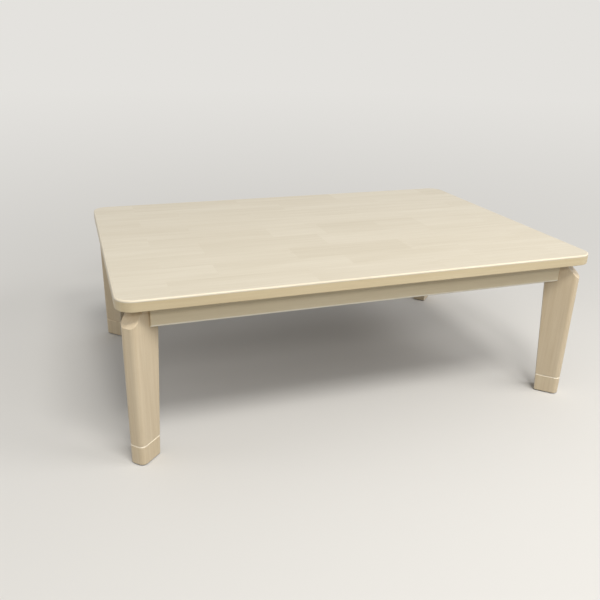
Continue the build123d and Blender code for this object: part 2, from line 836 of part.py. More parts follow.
# Lower bracket bridges the fan's hole; the upper one lies on the stator
bracket_reach = fan_hole_radius + bracket_foot_clearance
upright = Plane(origin=(chamber_offset, 0, plate_top), x_dir=(1, 0, 0), z_dir=(0, -1, 0))
with BuildPart() as motor_brackets:
    with BuildSketch(upright):
        with BuildLine():
            Polyline(
                (0, bracket_rise),
                (bracket_reach + sheet_thickness, bracket_rise),
                (bracket_reach + sheet_thickness, sheet_thickness),
                (bracket_reach + bracket_foot_length, sheet_thickness),
                (bracket_reach + bracket_foot_length, 0),
                (bracket_reach, 0),
                (bracket_reach, bracket_rise - sheet_thickness),
                (0, bracket_rise - sheet_thickness),
            )
            mirror(about=Plane.YZ)
        make_face()
        # The upper bracket
        with Locations((0, stator_top - plate_top)):
            Rectangle(upper_bracket_length, sheet_thickness, align=(Align.CENTER, Align.MIN))
    extrude(amount=bracket_width / 2, both=True)
    with BuildSketch(Plane((chamber_offset, 0, plate_top))):
        Circle(shaft_radius + running_gap)
    extrude(amount=stator_top + sheet_thickness - plate_top, mode=Mode.SUBTRACT)
motor_brackets.part.label = "motor_brackets"
export_step(motor_brackets.part, "parts/motor_brackets.step")

with BuildPart() as motor_stator:
    with BuildSketch(Plane((chamber_offset, 0, stator_bottom))):
        with Locations((0, -stator_near_reach)):
            Rectangle(
                stator_width,
                stator_near_reach * 2 + stator_window_depth + stator_limb_depth,
                align=(Align.CENTER, Align.MIN),
            )
        with Locations((0, stator_near_reach)):
            Rectangle(
                stator_window_width,
                stator_window_depth,
                align=(Align.CENTER, Align.MIN),
                mode=Mode.SUBTRACT,
            )
        Circle(rotor_radius + rotor_gap, mode=Mode.SUBTRACT)
    extrude(amount=stator_height)
motor_stator.part.label = "motor_stator"
export_step(motor_stator.part, "parts/motor_stator.step")

# Winding around the stator's far limb
winding_half_length = stator_window_width / 2 - winding_end_gap
winding_plane = Plane(
    origin=(chamber_offset, winding_middle, stator_bottom + stator_height / 2),
    x_dir=(0, 1, 0),
    z_dir=(1, 0, 0),
)
with BuildPart() as motor_winding:
    with BuildSketch(winding_plane):
        Rectangle(stator_limb_depth + 2 * winding_build, stator_height + 2 * winding_build)
        Rectangle(stator_limb_depth, stator_height, mode=Mode.SUBTRACT)
    extrude(amount=winding_half_length, both=True)
motor_winding.part.label = "motor_winding"
export_step(motor_winding.part, "parts/motor_winding.step")

with BuildPart() as motor_rotor:
    with BuildSketch(Plane((chamber_offset, 0, stator_bottom + rotor_gap))):
        Circle(rotor_radius)
    extrude(amount=stator_height - 2 * rotor_gap)
    with BuildSketch(Plane((chamber_offset, 0, hub_top - shaft_depth_in_hub))):
        Circle(shaft_radius)
    extrude(amount=stator_top + shaft_tip - hub_top + shaft_depth_in_hub)
motor_rotor.part.label = "motor_rotor"
export_step(motor_rotor.part, "parts/motor_rotor.step")

# Impeller: flat blades set at a pitch around a hub
blade_start = hub_radius - blade_thickness
with BuildPart() as fan_impeller:
    with BuildSketch(Plane((chamber_offset, 0, hub_bottom))):
        Circle(hub_radius)
    extrude(amount=hub_height)
    with Locations(Plane((chamber_offset, 0, hub_bottom + hub_height / 2))):
        with PolarLocations(0, blade_count):
            with Locations((blade_start, 0, 0)):
                Box(
                    blade_tip_radius - blade_start,
                    blade_chord,
                    blade_thickness,
                    rotation=(blade_pitch, 0, 0),
                    align=(Align.MIN, Align.CENTER, Align.CENTER),
                )
    with Locations(Plane((chamber_offset, 0, hub_top))):
        Hole(shaft_radius + press_gap, shaft_depth_in_hub)
fan_impeller.part.label = "fan_impeller"
export_step(fan_impeller.part, "parts/fan_impeller.step")

# ---------------------------------------------------------------- heater guard

# A band around the reflector's mouth, hung by four lugs
with BuildPart() as heater_guard:
    with BuildSketch(Plane((chamber_offset, 0, guard_bottom))):
        RectangleRounded(2 * guard_half_length, 2 * guard_half_width, guard_rounding)
        RectangleRounded(
            2 * guard_half_length - 2 * guard_wall,
            2 * guard_half_width - 2 * guard_wall,
            guard_rounding - guard_wall,
            mode=Mode.SUBTRACT,
        )
    extrude(amount=guard_height)
    with BuildSketch(Plane((chamber_offset, 0, rim_bottom - sheet_thickness))):
        with GridLocations(lug_spacing, 0, 2, 1):
            for side_y in (-1, 1):
                with Locations((0, side_y * (guard_half_width + rim_half_width - guard_wall) / 2)):
                    Rectangle(lug_width, rim_half_width - guard_half_width + guard_wall)
    extrude(amount=sheet_thickness)
    with Locations(*guard_screw_planes(rim_bottom - sheet_thickness)):
        Hole(guard_screw_radius + hole_gap, sheet_thickness)
heater_guard.part.label = "heater_guard"
export_step(heater_guard.part, "parts/heater_guard.step")

# Rods across the band's mouth, with a few cross rods lying on them
band_inner_half_length = guard_half_length - guard_wall
band_inner_half_width = guard_half_width - guard_wall
rods_each_side = int((band_inner_half_width - guard_rounding) // guard_rod_spacing)
rod_height = guard_bottom + guard_rod_lift
cross_rod_height = rod_height + 2 * guard_rod_radius + running_gap
rod_plane = Plane(origin=(chamber_offset, 0, rod_height), x_dir=(0, 1, 0), z_dir=(1, 0, 0))
cross_rod_plane = Plane(
    origin=(chamber_offset, 0, cross_rod_height), x_dir=(1, 0, 0), z_dir=(0, -1, 0)
)
with BuildPart() as guard_rods:
    with BuildSketch(rod_plane):
        with GridLocations(guard_rod_spacing, 0, 2 * rods_each_side + 1, 1):
            Circle(guard_rod_radius)
    extrude(amount=band_inner_half_length, both=True)
    with BuildSketch(cross_rod_plane):
        with GridLocations(cross_rod_spacing, 0, cross_rod_count, 1):
            Circle(guard_rod_radius)
    extrude(amount=band_inner_half_width, both=True)
guard_rods.part.label = "guard_rods"
export_step(guard_rods.part, "parts/guard_rods.step")

with BuildPart() as guard_screws:
    with Locations(*guard_screw_planes(rim_bottom - sheet_thickness)):
        Cylinder(guard_screw_radius, guard_screw_length, align=(Align.CENTER, Align.CENTER, Align.MAX))
        Cylinder(
            guard_screw_head_radius,
            guard_screw_head_height,
            align=(Align.CENTER, Align.CENTER, Align.MIN),
        )
guard_screws.part.label = "guard_screws"
export_step(guard_screws.part, "parts/guard_screws.step")

# ---------------------------------------------------------------- cord inlet and wiring

# Inlet under the reflector's rim; its socket opens to the left, below the cross rail
pin_planes_in_socket = [
    Plane(origin=(socket_floor, place_y, inlet_middle), z_dir=(-1, 0, 0))
    for place_y in either_side(0, inlet_pin_spacing)
]
with BuildPart() as cord_inlet:
    with BuildSketch(Plane(((inlet_mouth + inlet_inner) / 2, 0, rim_bottom - inlet_height))):
        Rectangle(inlet_length, inlet_width)
    extrude(amount=inlet_height)
    with BuildSketch(Plane(origin=(inlet_mouth, 0, inlet_middle), x_dir=(0, 1, 0), z_dir=(-1, 0, 0))):
        Rectangle(socket_width, socket_height)
    extrude(amount=-socket_depth, mode=Mode.SUBTRACT)
    with Locations(*pin_planes_in_socket):
        Hole(inlet_pin_radius + press_gap, tab_place - socket_floor)
    with BuildSketch(Plane((tab_place, 0, inlet_middle))):
        with GridLocations(0, inlet_pin_spacing, 1, 2):
            Rectangle(tab_length + 2 * press_gap, tab_thickness + 2 * press_gap)
    extrude(amount=inlet_height / 2, mode=Mode.SUBTRACT)
cord_inlet.part.label = "cord_inlet"
export_step(cord_inlet.part, "parts/cord_inlet.step")

with BuildPart() as inlet_pins:
    with BuildSketch(*pin_planes_in_socket):
        Circle(inlet_pin_radius)
    extrude(amount=inlet_pin_length)
    with BuildSketch(*pin_planes_in_socket):
        Circle(inlet_pin_radius)
    extrude(amount=socket_floor - tab_place)
    with BuildSketch(Plane((tab_place, 0, inlet_middle))):
        with GridLocations(0, inlet_pin_spacing, 1, 2):
            Rectangle(tab_length, tab_thickness)
    extrude(amount=tab_top - inlet_middle)
inlet_pins.part.label = "inlet_pins"
export_step(inlet_pins.part, "parts/inlet_pins.step")

with BuildPart() as terminal_block:
    with BuildSketch(Plane((deck_middle, terminal_block_place, flange_bottom))):
        Rectangle(terminal_block_width, terminal_count * terminal_spacing)
    extrude(amount=terminal_block_height)
    with BuildSketch(Plane((deck_middle, terminal_block_place, terminal_floor))):
        with GridLocations(0, terminal_spacing, 1, terminal_count):
            Circle(terminal_pocket_radius)
    extrude(amount=terminal_pocket_depth, mode=Mode.SUBTRACT)
terminal_block.part.label = "terminal_block"
export_step(terminal_block.part, "parts/terminal_block.step")

with BuildPart() as thermostat:
    with BuildSketch(Plane((sensor_line, -thermostat_place, plate_top))):
        Circle(thermostat_radius)
    extrude(amount=thermostat_height)
thermostat.part.label = "thermostat"
export_step(thermostat.part, "parts/thermostat.step")

with BuildPart() as thermal_fuse:
    with BuildSketch(Plane(origin=(sensor_line, fuse_place, fuse_height), z_dir=(0, 1, 0))):
        Circle(fuse_radius)
    extrude(amount=fuse_length / 2, both=True)
thermal_fuse.part.label = "thermal_fuse"
export_step(thermal_fuse.part, "parts/thermal_fuse.step")

# Wires, each a run of straight stretches with rounded turns
terminals = [
    terminal_block_place + (index - (terminal_count - 1) / 2) * terminal_spacing
    for index in range(terminal_count)
]
tab_near, tab_far = either_side(0, inlet_pin_spacing)
switch_near, switch_far = either_side(-thermostat_place, thermostat_terminal_spacing)
fuse_near = fuse_place - fuse_length / 2
fuse_far = fuse_place + fuse_length / 2
winding_lead_height = stator_top + winding_build / 2
wire_routes = [
    [
        (tab_place, tab_far, tab_top),
        (tab_place, tab_far, low_wire_height),
        (deck_middle, terminals[0], low_wire_height),
        (deck_middle, terminals[0], terminal_floor),
    ],
    [
        (tab_place, tab_near, tab_top),
        (tab_place, tab_near, high_wire_height),
        (sensor_line, switch_near, high_wire_height),
        (sensor_line, switch_near, thermostat_top),
    ],
    [
        (sensor_line, switch_far, thermostat_top),
        (sensor_line, switch_far, high_wire_height),
        (sensor_line, fuse_near - 3 * wire_stub, high_wire_height),
        (sensor_line, fuse_near - 3 * wire_stub, fuse_height),
        (sensor_line, fuse_near, fuse_height),
    ],
    [
        (sensor_line, fuse_far, fuse_height),
        (sensor_line, fuse_far + wire_stub, fuse_height),
        (cap_lead_place, fuse_far + wire_stub, low_wire_height),
        (cap_lead_place, tube_half_spacing, low_wire_height),
        (cap_lead_place, tube_half_spacing, plate_bottom),
    ],
    [
        (cap_lead_place, -tube_half_spacing, plate_bottom),
        (cap_lead_place, -tube_half_spacing, low_wire_height),
        (deck_middle, terminals[1], low_wire_height),
        (deck_middle, terminals[1], terminal_floor),
    ],
]
for lead_y, terminal_y in zip(either_side(winding_middle, 2 * wire_bend_radius), terminals[2:]):
    wire_routes.append(
        [
            (motor_lead_place, lead_y, winding_lead_height),
            (motor_lead_place - 2 * wire_stub, lead_y, winding_lead_height),
            (deck_middle, terminal_y, winding_lead_height),
            (deck_middle, terminal_y, terminal_floor),
        ]
    )
with BuildPart() as lead_wires:
    for route in wire_routes:
        with BuildLine() as wire_path:
            FilletPolyline(*route, radius=wire_bend_radius)
        with BuildSketch(Plane(wire_path.wire() ^ 0)):
            Circle(wire_radius)
        sweep(path=wire_path.wire())
lead_wires.part.label = "lead_wires"
export_step(lead_wires.part, "parts/lead_wires.step")
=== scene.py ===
"""Dresses the low heating table: whitewashed wood, metals and small parts.

It stands on a plain floor in soft light. Lengths are in metres.
"""

import math

import bpy
from mathutils import Matrix, Vector


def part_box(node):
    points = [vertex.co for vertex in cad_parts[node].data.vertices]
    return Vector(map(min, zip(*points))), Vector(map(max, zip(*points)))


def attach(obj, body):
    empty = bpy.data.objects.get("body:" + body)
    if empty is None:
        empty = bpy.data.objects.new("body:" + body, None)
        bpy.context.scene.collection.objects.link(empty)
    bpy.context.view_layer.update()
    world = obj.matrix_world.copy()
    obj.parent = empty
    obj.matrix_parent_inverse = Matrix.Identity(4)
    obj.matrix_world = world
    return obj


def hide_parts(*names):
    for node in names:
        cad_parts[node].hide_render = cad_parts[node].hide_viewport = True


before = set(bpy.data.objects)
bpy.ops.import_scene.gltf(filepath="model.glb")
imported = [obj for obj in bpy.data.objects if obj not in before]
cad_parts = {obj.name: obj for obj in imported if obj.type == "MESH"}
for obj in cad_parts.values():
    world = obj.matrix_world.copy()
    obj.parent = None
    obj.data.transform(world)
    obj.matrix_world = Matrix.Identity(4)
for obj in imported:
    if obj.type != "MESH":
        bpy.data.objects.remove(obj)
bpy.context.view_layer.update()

# ---------------------------------------------------------------- node helpers

# The values that most of a noise texture lies between
NOISE_RANGE = (0.3, 0.7)


class Nodes:
    """A material's node tree, with short calls for the nodes that the materials share."""

    def __init__(self, name):
        self.material = bpy.data.materials.new(name)
        self.material.use_nodes = True
        self.tree = self.material.node_tree
        self.shader = self.tree.nodes["Principled BSDF"]
        coordinates = self.tree.nodes.new("ShaderNodeTexCoord")
        self.place = coordinates.outputs["Object"]
        self.facing = coordinates.outputs["Normal"]

    def link(self, source, target):
        self.tree.links.new(source, target)

    def split(self, vector):
        """The X, Y and Z parts of a vector, without their signs."""
        node = self.tree.nodes.new("ShaderNodeSeparateXYZ")
        self.link(vector, node.inputs["Vector"])
        return [self.maths("ABSOLUTE", node.outputs[axis], 0.0) for axis in "XYZ"]

    def mapping(self, scale, offset=(0, 0, 0), turn=0.0, source=None):
        """Coordinates turned about Z, scaled, then shifted."""
        node = self.tree.nodes.new("ShaderNodeMapping")
        node.vector_type = "POINT"
        node.inputs["Scale"].default_value = scale
        node.inputs["Location"].default_value = offset
        turned = source or self.place
        if turn:
            first = self.tree.nodes.new("ShaderNodeVectorRotate")
            first.rotation_type = "Z_AXIS"
            first.inputs["Angle"].default_value = -turn
            self.link(turned, first.inputs["Vector"])
            turned = first.outputs["Vector"]
        self.link(turned, node.inputs["Vector"])
        return node.outputs["Vector"]

    def noise(self, vector, detail=2.0, roughness=0.5, distortion=0.0):
        node = self.tree.nodes.new("ShaderNodeTexNoise")
        node.inputs["Scale"].default_value = 1.0
        node.inputs["Detail"].default_value = detail
        node.inputs["Roughness"].default_value = roughness
        node.inputs["Distortion"].default_value = distortion
        self.link(vector, node.inputs["Vector"])
        return node.outputs["Fac"]

    def cloud(self, waves, detail=2.0):
        """Noise of one size in every direction, in waves per metre."""
        return self.noise(self.mapping((waves, waves, waves)), detail=detail)

    def spread(self, value, low, high, to_low=0.0, to_high=1.0):
        """A value from one range onto another, held at its ends."""
        node = self.tree.nodes.new("ShaderNodeMapRange")
        node.inputs["From Min"].default_value = low
        node.inputs["From Max"].default_value = high
        node.inputs["To Min"].default_value = to_low
        node.inputs["To Max"].default_value = to_high
        self.link(value, node.inputs["Value"])
        return node.outputs["Result"]

    def vary(self, noise, low=0.0, high=1.0):
        """Noise spread from low to high."""
        return self.spread(noise, *NOISE_RANGE, low, high)

    def maths(self, operation, first, second):
        node = self.tree.nodes.new("ShaderNodeMath")
        node.operation = operation
        for socket, value in zip(node.inputs, (first, second)):
            if isinstance(value, (int, float)):
                socket.default_value = value
            else:
                self.link(value, socket)
        return node.outputs["Value"]

    def total(self, first, *others):
        """The sum of several values."""
        for other in others:
            first = self.maths("ADD", first, other)
        return first

    def mix(self, factor, first, second):
        """A colour between two, by a factor."""
        node = self.tree.nodes.new("ShaderNodeMix")
        node.data_type = "RGBA"
        self.link(factor, node.inputs["Factor"])
        colour_sockets = [socket for socket in node.inputs if socket.type == "RGBA"]
        for socket, value in zip(colour_sockets, (first, second)):
            if isinstance(value, tuple):
                socket.default_value = value
            else:
                self.link(value, socket)
        return [socket for socket in node.outputs if socket.type == "RGBA"][0]

    def colour(self, colour):
        self.link(colour, self.shader.inputs["Base Color"])

    def roughness(self, value):
        self.link(value, self.shader.inputs["Roughness"])

    def bump(self, height, distance):
        node = self.tree.nodes.new("ShaderNodeBump")
        node.inputs["Distance"].default_value = distance
        node.inputs["Strength"].default_value = 1.0
        self.link(height, node.inputs["Height"])
        self.link(node.outputs["Normal"], self.shader.inputs["Normal"])

    def set(self, **values):
        for name, value in values.items():
            self.shader.inputs[name.replace("_", " ")].default_value = value


def linear(red, green, blue):
    """An 8-bit sRGB colour as Blender's linear colour."""
    channels = []
    for value in (red, green, blue):
        part = value / 255
        channels.append(part / 12.92 if part <= 0.04045 else ((part + 0.055) / 1.055) ** 2.4)
    return (*channels, 1.0)


def drawn_out(axis, run, cross):
    """Scales for a pattern drawn out along an axis, in waves per metre."""
    return tuple(run if letter == axis else cross for letter in "XYZ")


# ---------------------------------------------------------------- painted edge highlights, pale apron edges and staves

# Each pair runs from where a surface shows none of the pale edge colour to where it shows all
# of it.
# The normal's upright part, which is 1 on a level face
LEVEL_LEFT_OUT = (0.99, 0.92)
# Height above an apron's lower edge
APRON_BAND = (0.005, 0.0038)
# The sum of X and Y, without their signs, which is smaller at the legs' inner edges
LEG_INNER_EDGE = (0.915, 0.905)
# Height above the floor, just over the seam, where the chamfer gets a painted highlight
SEAM_HEIGHT = (0.06, 0.055)

# How much darker a stave that stands out is
DARKER_STAVE = 0.26


def stave(n, left, right, near, far):
    """1 inside one stave of the top, 0 outside it."""
    middle = n.mapping((1, 1, 1), offset=(-(left + right) / 2, -(near + far) / 2, 0))
    along_x, along_y, _ = n.split(middle)
    in_length = n.maths("LESS_THAN", along_x, (right - left) / 2)
    return n.maths("MULTIPLY", in_length, n.maths("LESS_THAN", along_y, (far - near) / 2))


def top_edge_highlight(n):
    """The top's rounded edge, between its level face and its upright side, where a highlight is
    painted in a pale colour.
    """
    rise = n.split(n.facing)[2]
    return n.maths("MINIMUM", n.spread(rise, 0.15, 0.45), n.spread(rise, *LEVEL_LEFT_OUT))


def apron_arris(n, apron):
    """The rounded lower edge of an apron, and a narrow band above it."""
    rise = n.split(n.facing)[2]
    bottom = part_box(apron)[0][2]
    band = n.spread(n.split(n.place)[2], *(bottom + edge for edge in APRON_BAND))
    return n.maths("MULTIPLY", n.spread(rise, *LEVEL_LEFT_OUT), band)


def leg_edge_highlight(n, seam_highlight_share):
    """Where a leg gets a painted highlight: its inner upright edges and, by a share of it, the
    sloping edge at the seam.
    """
    along_x, along_y, rise = n.split(n.facing)
    square = n.spread(n.maths("MAXIMUM", along_x, along_y), 0.8, 0.95)
    place_x, place_y, height = n.split(n.place)
    inner = n.spread(n.maths("ADD", place_x, place_y), *LEG_INNER_EDGE)
    seam = n.spread(height, *SEAM_HEIGHT, 0.0, seam_highlight_share)
    upright = n.maths("MULTIPLY", square, inner)
    return n.maths("MAXIMUM", upright, n.maths("MULTIPLY", n.spread(rise, 0.4, 0.6), seam))


def glued_staves(n, length, width):
    """A tone for each stave of a glued board, and coordinates that differ in each."""
    brick = n.tree.nodes.new("ShaderNodeTexBrick")
    brick.offset = 0.37
    brick.offset_frequency = 2
    brick.squash = 1.0
    settings = {
        "Color1": (0, 0, 0, 1),
        "Color2": (1, 1, 1, 1),
        "Scale": 1.0,
        "Mortar Size": 0.0,
        "Brick Width": length,
        "Row Height": width,
    }
    for name, value in settings.items():
        brick.inputs[name].default_value = value
    n.link(n.mapping((1, 1, 1), offset=(0.031, 0.046, 0)), brick.inputs["Vector"])
    tone = brick.outputs["Color"]
    shifted = n.tree.nodes.new("ShaderNodeVectorMath")
    shifted.operation = "MULTIPLY_ADD"
    n.link(tone, shifted.inputs[0])
    shifted.inputs[1].default_value = (3.1, 1.7, 2.3)
    n.link(n.place, shifted.inputs[2])
    return tone, shifted.outputs["Vector"]


# ---------------------------------------------------------------- materials

# The wood's patterns, in waves per metre along and across the grain
TONE = (1.6, 11)
STREAK = (7, 210)
FIGURE = (2.2, 46)
PORE = (95, 1150)


def wood(
    name,
    light,
    dark,
    along="X",
    turn=0.0,
    boards=None,
    darker=(),
    sheen=0.42,
    seed=0.0,
    grain=1.0,
    pale_edges=None,
    pale=None,
):
    """Wood with its grain along one axis: slow tone changes, fine streaks and short pores.

    boards gives the length and width of the glued staves that the surface shows, and darker the
    left, right, near and far ends of staves that stand out.
    sheen is the middle of its roughness, and pale_edges says where it turns pale: a painted
    highlight on the top's and legs' edges, a paler lower edge on the aprons.
    """
    n = Nodes(name)
    board_tone, source = glued_staves(n, *boards) if boards else (None, n.place)

    def pattern(waves, **settings):
        offset = (seed, seed * 0.7, seed * 1.3)
        place = n.mapping(drawn_out(along, *waves), offset, turn, source)
        return n.noise(place, **settings)

    tone = pattern(TONE, detail=3, roughness=0.55)
    streak = pattern(STREAK, detail=4, roughness=0.6, distortion=0.3)
    figure = pattern(FIGURE, detail=3, distortion=0.8)
    pore = pattern(PORE, detail=1)

    weight = n.total(
        n.vary(tone, 0.0, 0.45),
        n.vary(figure, 0.0, 0.3),
        n.spread(streak, 0.32, 0.68, 0.0, 0.32 * grain),
    )
    if board_tone:
        weight = n.total(weight, n.spread(board_tone, 0.0, 1.0, -0.05, 0.13))
    weight = n.total(weight, n.spread(pore, 0.60, 0.72, 0.0, 0.2 * grain))
    for ends in darker:
        weight = n.total(weight, n.maths("MULTIPLY", stave(n, *ends), DARKER_STAVE))
    colour = n.mix(n.spread(weight, 0.1, 1.2), light, dark)
    # The pale edges are painted highlights on the top and legs, and a paler lower edge on the
    # aprons
    if pale_edges:
        colour = n.mix(n.maths("MULTIPLY", pale_edges(n), n.vary(tone, 1.0, 0.7)), colour, pale)
    n.colour(colour)
    n.roughness(n.vary(figure, sheen - 0.04, sheen + 0.05))
    pits = n.spread(pore, 0.58, 0.74, 0.0, 0.6)
    n.bump(n.maths("SUBTRACT", n.vary(streak, 0.0, 0.5), pits), 0.00006)
    n.set(Coat_Weight=0.25, Coat_Roughness=0.25, Specular_IOR_Level=0.35)
    return n.material


def board(name, light, dark, chip=900):
    """Pressed board: chips or fibres of mixed tone."""
    n = Nodes(name)
    cells = n.tree.nodes.new("ShaderNodeTexVoronoi")
    cells.inputs["Scale"].default_value = 1.0
    n.link(n.mapping((chip * 0.55, chip * 0.8, chip)), cells.inputs["Vector"])
    speck = n.cloud(chip, detail=3)
    flakes = n.spread(cells.outputs["Distance"], 0.0, 0.8, 0.0, 0.6)
    n.colour(n.mix(n.total(flakes, n.vary(speck, 0.0, 0.4)), light, dark))
    n.roughness(n.vary(speck, 0.66, 0.82))
    n.bump(speck, 0.00012)
    return n.material


def metal(name, light, dark, roughness=0.35, brush=None, spangle=0.0):
    """Bare or plated metal, brushed along an axis or spangled by its zinc."""
    n = Nodes(name)
    scale = drawn_out(brush, 30, 2400) if brush else (700, 700, 700)
    scratch = n.noise(n.mapping(scale), detail=3)
    weight = n.total(n.vary(scratch, 0.0, 0.4), n.vary(n.cloud(38, detail=3), 0.0, 0.5))
    if spangle:
        cells = n.tree.nodes.new("ShaderNodeTexVoronoi")
        cells.inputs["Scale"].default_value = 130
        n.link(n.place, cells.inputs["Vector"])
        shades = n.tree.nodes.new("ShaderNodeSeparateColor")
        n.link(cells.outputs["Color"], shades.inputs["Color"])
        weight = n.total(weight, n.spread(shades.outputs["Red"], 0.0, 1.0, -spangle, spangle))
    n.colour(n.mix(n.spread(weight, 0.0, 1.0), light, dark))
    n.roughness(n.spread(weight, 0.0, 1.0, roughness - 0.08, roughness + 0.1))
    n.bump(scratch, 0.00003)
    n.set(Metallic=1.0)
    return n.material


def moulded(name, light, dark, roughness=0.5, grain=0.00004):
    """Moulded plastic, rubber, ceramic or paint: fine texture and slight tone changes."""
    n = Nodes(name)
    fine = n.cloud(1500)
    cloud = n.cloud(24)
    n.colour(n.mix(n.total(n.vary(fine, 0.0, 0.5), n.vary(cloud, 0.0, 0.5)), light, dark))
    n.roughness(n.vary(cloud, roughness - 0.06, roughness + 0.06))
    n.bump(fine, grain)
    return n.material


def felt(name, light, dark):
    """Pressed felt: matted fibres."""
    n = Nodes(name)
    fibre = n.noise(n.mapping((1900, 700, 1500)), detail=4, roughness=0.7, distortion=2.0)
    n.colour(n.mix(n.vary(fibre), light, dark))
    n.bump(fibre, 0.0003)
    n.set(Roughness=0.95, Sheen_Weight=0.3, Sheen_Roughness=0.6)
    return n.material


def laminated(name, light, dark):
    """A stack of thin steel sheets, seen on edge as fine level lines."""
    n = Nodes(name)
    lines = n.tree.nodes.new("ShaderNodeTexWave")
    lines.wave_type = "BANDS"
    lines.bands_direction = "Z"
    lines.inputs["Scale"].default_value = 320
    n.link(n.place, lines.inputs["Vector"])
    cloud = n.cloud(60)
    weight = n.maths("MULTIPLY", lines.outputs["Fac"], n.vary(cloud, 0.6, 1.0))
    n.colour(n.mix(weight, light, dark))
    n.roughness(n.vary(cloud, 0.4, 0.55))
    n.bump(lines.outputs["Fac"], 0.00008)
    n.set(Metallic=0.9)
    return n.material


def quartz(name):
    """Clear fused quartz, very slightly clouded."""
    n = Nodes(name)
    cloud = n.cloud(90)
    n.colour(n.mix(cloud, linear(245, 240, 230), linear(228, 222, 210)))
    n.roughness(n.vary(cloud, 0.04, 0.12))
    n.set(Transmission_Weight=0.9, IOR=1.46)
    return n.material


# Light and dark tones of the finishes that several pieces share
LEG = linear(234, 218, 190), linear(215, 195, 162)
EXTENSION = linear(238, 222, 193), linear(219, 199, 166)
APRON = linear(238, 226, 197), linear(221, 205, 172)
RAIL = linear(228, 213, 179), linear(209, 190, 152)
BLOCK = linear(222, 200, 160), linear(196, 170, 126)
ZINC = linear(205, 203, 196), linear(160, 158, 150)
BLACK_PAINT = linear(44, 43, 42), linear(30, 29, 29)
# Tones of the pale edges: a painted highlight on the legs, a paler lower edge on the aprons
LEG_HIGHLIGHT = linear(250, 240, 220)
APRON_EDGE = linear(254, 248, 232)

zinc_steel = metal("zinc_steel", *ZINC, 0.38)
housing_steel = metal(
    "housing_steel", linear(196, 198, 198), linear(158, 161, 162), 0.42, spangle=0.3
)
material_of = {
    "tabletop_face": wood(
        "top_wood",
        linear(223, 215, 197),
        linear(208, 198, 177),
        boards=(0.33, 0.088),
        darker=((0.0, 0.31, -0.05, 0.05), (-0.147, 0.163, -0.235, -0.145)),
        # A painted highlight along the top's rounded edge
        pale_edges=top_edge_highlight,
        pale=linear(238, 227, 204),
    ),
    "tabletop_core": board("core_board", linear(190, 160, 118), linear(140, 110, 76)),
    "tabletop_backing": board(
        "backing_board", linear(178, 156, 124), linear(160, 138, 106), chip=2200
    ),
    "cross_rail_dowels": wood(
        "dowel_wood", linear(222, 196, 150), linear(196, 166, 120), along="Y"
    ),
    "slip_pads": moulded("slip_rubber", linear(96, 90, 84), linear(70, 66, 62), 0.75),
    "leg_inserts": metal("insert_brass", linear(205, 172, 104), linear(160, 128, 70)),
    "heater_housing": housing_steel,
    "motor_brackets": housing_steel,
    "heater_reflector": metal(
        "reflector_aluminium", linear(228, 228, 226), linear(196, 196, 194), 0.2, "X"
    ),
    "tube_end_caps": moulded(
        "cap_ceramic", linear(236, 231, 218), linear(214, 208, 192), 0.7, 0.00008
    ),
    "tube_clips": metal("spring_steel", linear(170, 170, 168), linear(120, 120, 120), 0.3),
    "motor_stator": laminated("lamination_steel", linear(120, 120, 120), linear(70, 70, 72)),
    "motor_winding": moulded("winding_tape", linear(206, 170, 60), linear(176, 140, 44), 0.4),
    "motor_rotor": metal("rotor_steel", linear(170, 170, 172), linear(120, 120, 124), 0.3, "Z"),
    "fan_impeller": metal(
        "fan_aluminium", linear(206, 208, 210), linear(170, 172, 176), 0.33, "X"
    ),
    "heater_guard": moulded("guard_paint", *BLACK_PAINT, 0.42, 0.00005),
    "guard_rods": moulded("rod_paint", *BLACK_PAINT, 0.38, 0.00005),
    "cord_inlet": moulded("inlet_plastic", linear(48, 47, 46), linear(36, 35, 35)),
    "inlet_pins": metal("pin_nickel", linear(222, 218, 206), linear(184, 180, 168), 0.22),
    "terminal_block": moulded(
        "terminal_plastic", linear(226, 221, 206), linear(204, 198, 182), 0.55
    ),
    "thermostat": moulded("thermostat_plastic", linear(66, 56, 50), linear(48, 40, 36), 0.4),
    "thermal_fuse": metal("fuse_case", linear(214, 208, 190), linear(172, 166, 148), 0.3),
    "lead_wires": moulded("wire_sleeve", linear(224, 219, 204), linear(200, 194, 178), 0.6),
    "quartz_tube": quartz("quartz"),
}
for fastener in (
    "corner_block_screws",
    "heater_mount_screws",
    "guard_screws",
    "leg_bolts",
    "leg_bolt_washers",
):
    material_of[fastener] = zinc_steel

rail_x = wood("edge_wood_long", *RAIL, "X", seed=3.0)
rail_y = wood("edge_wood_short", *RAIL, "Y", seed=5.0)
apron_x = wood(
    "apron_wood_long",
    *APRON,
    "X",
    seed=11.0,
    pale_edges=lambda n: apron_arris(n, "front_apron"),
    pale=APRON_EDGE,
)
apron_y = wood(
    "apron_wood_short",
    *APRON,
    "Y",
    seed=13.0,
    pale_edges=lambda n: apron_arris(n, "right_apron"),
    pale=APRON_EDGE,
)
leg_wood = {}
extension_wood = {}
